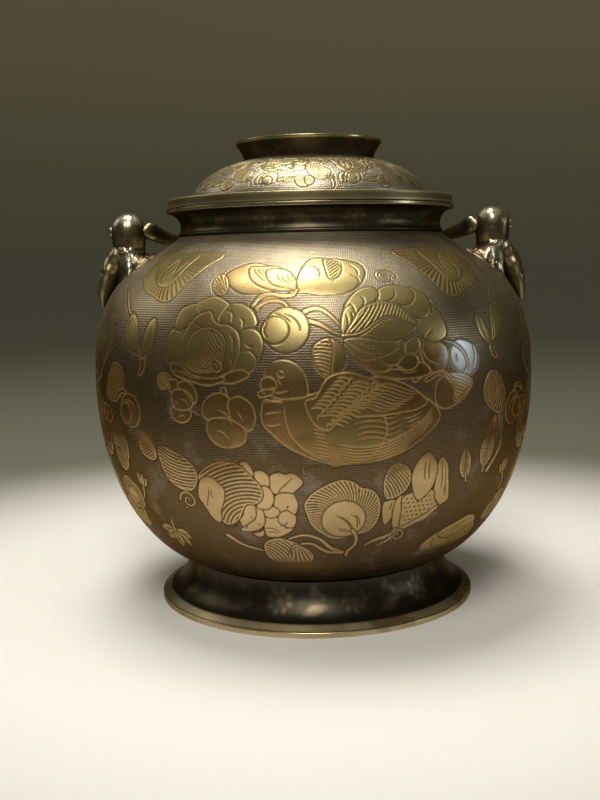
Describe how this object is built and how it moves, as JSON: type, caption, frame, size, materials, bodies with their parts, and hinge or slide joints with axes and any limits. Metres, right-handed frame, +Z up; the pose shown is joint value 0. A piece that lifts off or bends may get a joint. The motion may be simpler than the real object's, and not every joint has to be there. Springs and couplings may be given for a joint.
{
  "type": "covered jar with bail handle",
  "caption": "Round silver jar on a flared foot ring, with a domed lid, a ring knob and a swinging strap bail held in two bulbs on the shoulder.",
  "frame": {"origin": "centre of the foot ring's underside, where the jar stands", "axes": "+Z up, -Y towards the front, X along the bail's pivot line"},
  "size_m": [0.1952, 0.1952, 0.2033],
  "materials": {
    "aged_silver": "old silver, hammered, chased and matted with a ring punch",
    "gilt_silver": "fire-gilt silver, rubbed",
    "dark_silver": "blackened silver"
  },
  "bodies": {
    "jar": {"foot_ring": "dark_silver", "body_shell": "aged_silver", "neck_collar": "dark_silver", "right_bulb": "aged_silver", "right_calyx": "gilt_silver", "right_leaf": "dark_silver", "left_bulb": "aged_silver", "left_calyx": "gilt_silver", "left_leaf": "dark_silver"},
    "lid": {"lid_dome": "gilt_silver", "lid_collar": "dark_silver", "lid_knob_ring": "dark_silver"},
    "bail": {"bail": "dark_silver"}
  },
  "joints": [
    {"name": "lid_lift", "type": "slide", "parent": "jar", "child": "lid", "axis": [0, 0, 1], "range_m": [0, 0.06]},
    {"name": "bail_swing", "type": "hinge", "parent": "jar", "child": "bail", "pos_m": [0, 0, 0.1656], "axis": [1, 0, 0], "range_deg": [0, 193]}
  ]
}
